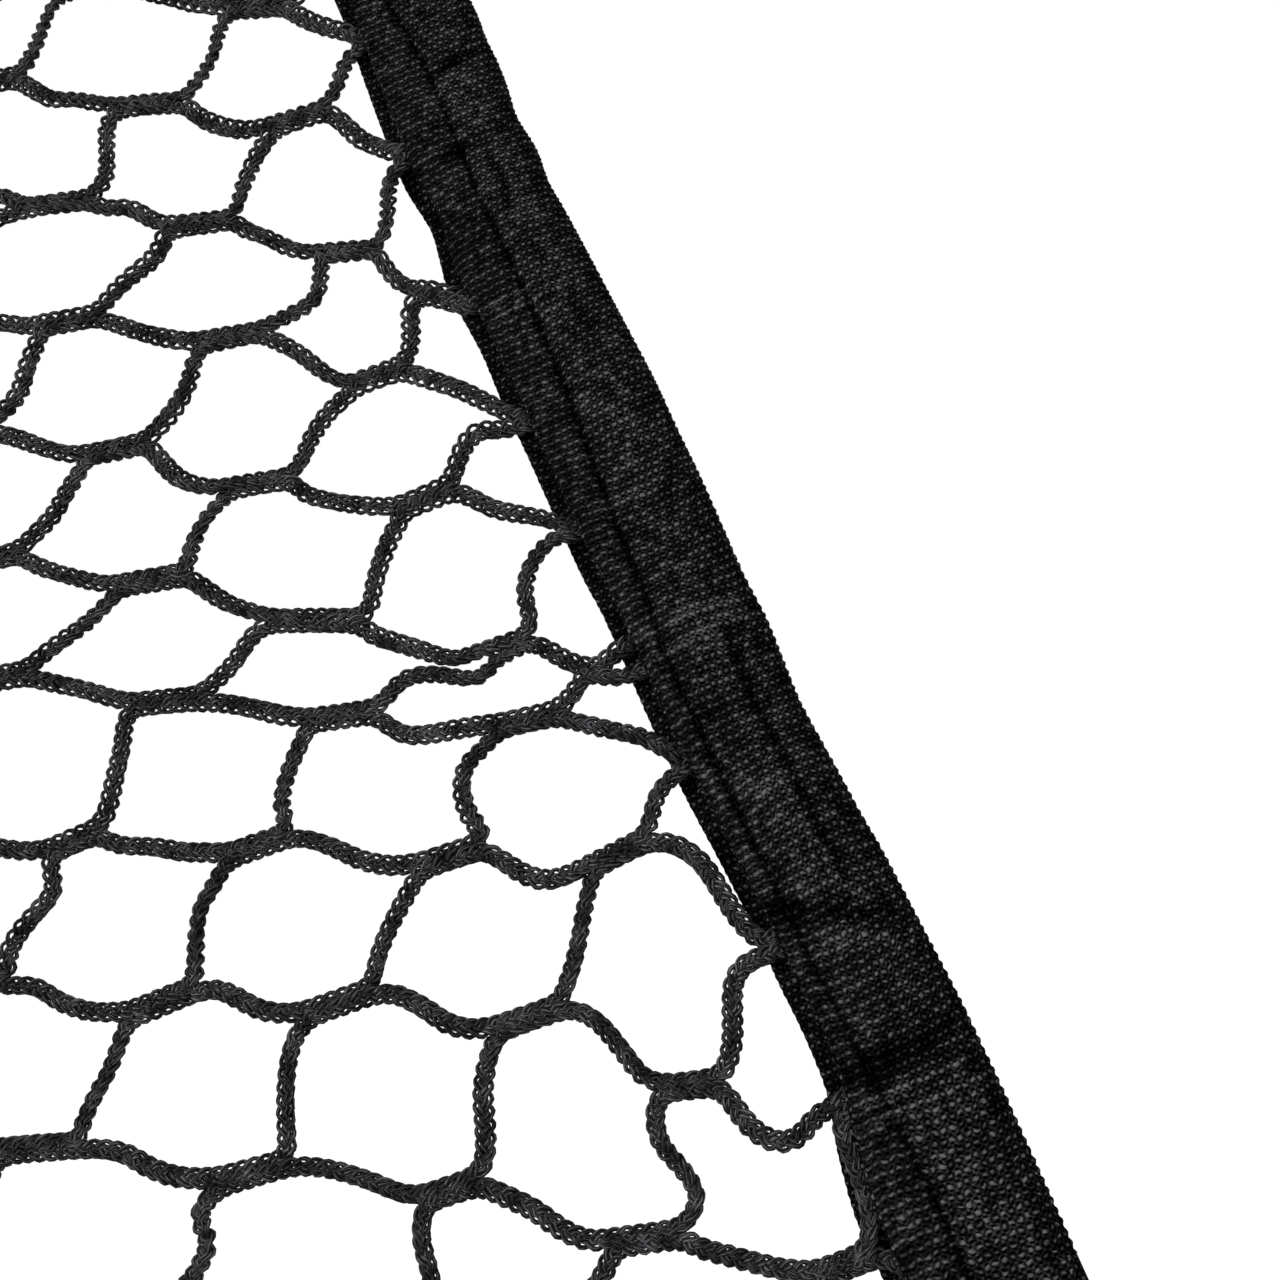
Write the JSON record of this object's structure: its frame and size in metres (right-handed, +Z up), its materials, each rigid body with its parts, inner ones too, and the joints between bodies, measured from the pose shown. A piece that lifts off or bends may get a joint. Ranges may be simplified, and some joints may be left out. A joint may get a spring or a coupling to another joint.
{
  "type": "pitch back rebounder",
  "caption": "Leaning square tube frame on a folding stand, with a bordered knotless net held inside it by elastic ties.",
  "frame": {"origin": "on the ground, at the middle of the footprint", "axes": "+X to the thrower's right along the tubes, the thrower stands on the -Y side, +Z up"},
  "size_m": [1.3686, 0.679, 1.2063],
  "materials": {
    "black_powder_coat": "satin powder coat",
    "black_rubber": "matt moulded rubber",
    "zinc_plated_steel": "bright zinc plate",
    "black_nylon": "fine grained moulding",
    "elastic_cord": "braided polyester cover",
    "border_webbing": "plain woven polypropylene webbing",
    "knitted_net_cord": "knotless raschel knitted cord"
  },
  "bodies": {
    "frame": {"upper_frame_bow": "black_powder_coat", "lower_frame_bow": "black_powder_coat", "frame_foot_left": "black_rubber", "frame_foot_right": "black_rubber", "saddle_spacers": "black_nylon", "pivot_bolts": "zinc_plated_steel", "pivot_nuts": "zinc_plated_steel", "clamp_bolts": "zinc_plated_steel", "clamp_washers": "zinc_plated_steel", "frame_snap_spring_left": "zinc_plated_steel", "frame_snap_spring_right": "zinc_plated_steel", "tie_cord_right": "elastic_cord", "tie_cord_top_right": "elastic_cord", "tie_cord_top": "elastic_cord", "tie_cord_top_left": "elastic_cord", "tie_cord_left": "elastic_cord", "tie_cord_bottom_left": "elastic_cord", "tie_cord_bottom": "elastic_cord", "tie_cord_bottom_right": "elastic_cord", "tie_balls": "black_nylon"},
    "stand": {"stand_leg_left": "black_powder_coat", "stand_leg_right": "black_powder_coat", "stand_foot_bow": "black_powder_coat", "sector_plate_left": "black_powder_coat", "sector_plate_right": "black_powder_coat", "plate_rivets": "zinc_plated_steel", "leg_cap_left": "black_nylon", "leg_cap_right": "black_nylon", "stand_foot_left": "black_rubber", "stand_foot_right": "black_rubber", "leg_snap_spring_left": "zinc_plated_steel", "leg_snap_spring_right": "zinc_plated_steel"},
    "net": {"net_mesh": "knitted_net_cord", "net_border_right": "border_webbing", "net_border_top": "border_webbing", "net_border_left": "border_webbing", "net_border_bottom": "border_webbing", "ring_tabs": "border_webbing", "wire_rings": "zinc_plated_steel"},
    "clamp_knob_left": {"clamp_knob_left": "black_nylon"},
    "clamp_knob_right": {"clamp_knob_right": "black_nylon"},
    "frame_snap_button_left": {"frame_snap_button_left": "zinc_plated_steel"},
    "frame_snap_button_right": {"frame_snap_button_right": "zinc_plated_steel"},
    "leg_snap_button_left": {"leg_snap_button_left": "zinc_plated_steel"},
    "leg_snap_button_right": {"leg_snap_button_right": "zinc_plated_steel"}
  },
  "joints": [
    {"name": "stand_fold", "type": "hinge", "parent": "frame", "child": "stand", "pos_m": [0, -0.06006, 0.73417], "axis": [1, 0, 0], "range_deg": [-48.02, 15]},
    {"name": "net_rebound", "type": "slide", "parent": "frame", "child": "net", "axis": [0, 0.9397, -0.342], "range_m": [-0.06, 0.12], "stiffness_N_per_m": 1200, "deforming": ["tie_cord_right", "tie_cord_top_right", "tie_cord_top", "tie_cord_top_left", "tie_cord_left", "tie_cord_bottom_left", "tie_cord_bottom", "tie_cord_bottom_right"]},
    {"name": "clamp_knob_left_turn", "type": "hinge", "parent": "frame", "child": "clamp_knob_left", "pos_m": [-0.621, -0.02928, 0.81874], "axis": [-1, 0, 0], "range_deg": [0, 360]},
    {"name": "clamp_knob_right_turn", "type": "hinge", "parent": "frame", "child": "clamp_knob_right", "pos_m": [0.621, -0.02928, 0.81874], "axis": [1, 0, 0], "range_deg": [0, 360]},
    {"name": "frame_snap_button_left_press", "type": "slide", "parent": "frame", "child": "frame_snap_button_left", "axis": [-1, 0, 0], "range_m": [0, 0.005], "stiffness_N_per_m": 600, "springref_m": -0.004, "deforming": ["frame_snap_spring_left"]},
    {"name": "frame_snap_button_right_press", "type": "slide", "parent": "frame", "child": "frame_snap_button_right", "axis": [1, 0, 0], "range_m": [0, 0.005], "stiffness_N_per_m": 600, "springref_m": -0.004, "deforming": ["frame_snap_spring_right"]},
    {"name": "leg_snap_button_left_press", "type": "slide", "parent": "stand", "child": "leg_snap_button_left", "axis": [-1, 0, 0], "range_m": [0, 0.005], "stiffness_N_per_m": 600, "springref_m": -0.004, "deforming": ["leg_snap_spring_left"]},
    {"name": "leg_snap_button_right_press", "type": "slide", "parent": "stand", "child": "leg_snap_button_right", "axis": [1, 0, 0], "range_m": [0, 0.005], "stiffness_N_per_m": 600, "springref_m": -0.004, "deforming": ["leg_snap_spring_right"]}
  ]
}
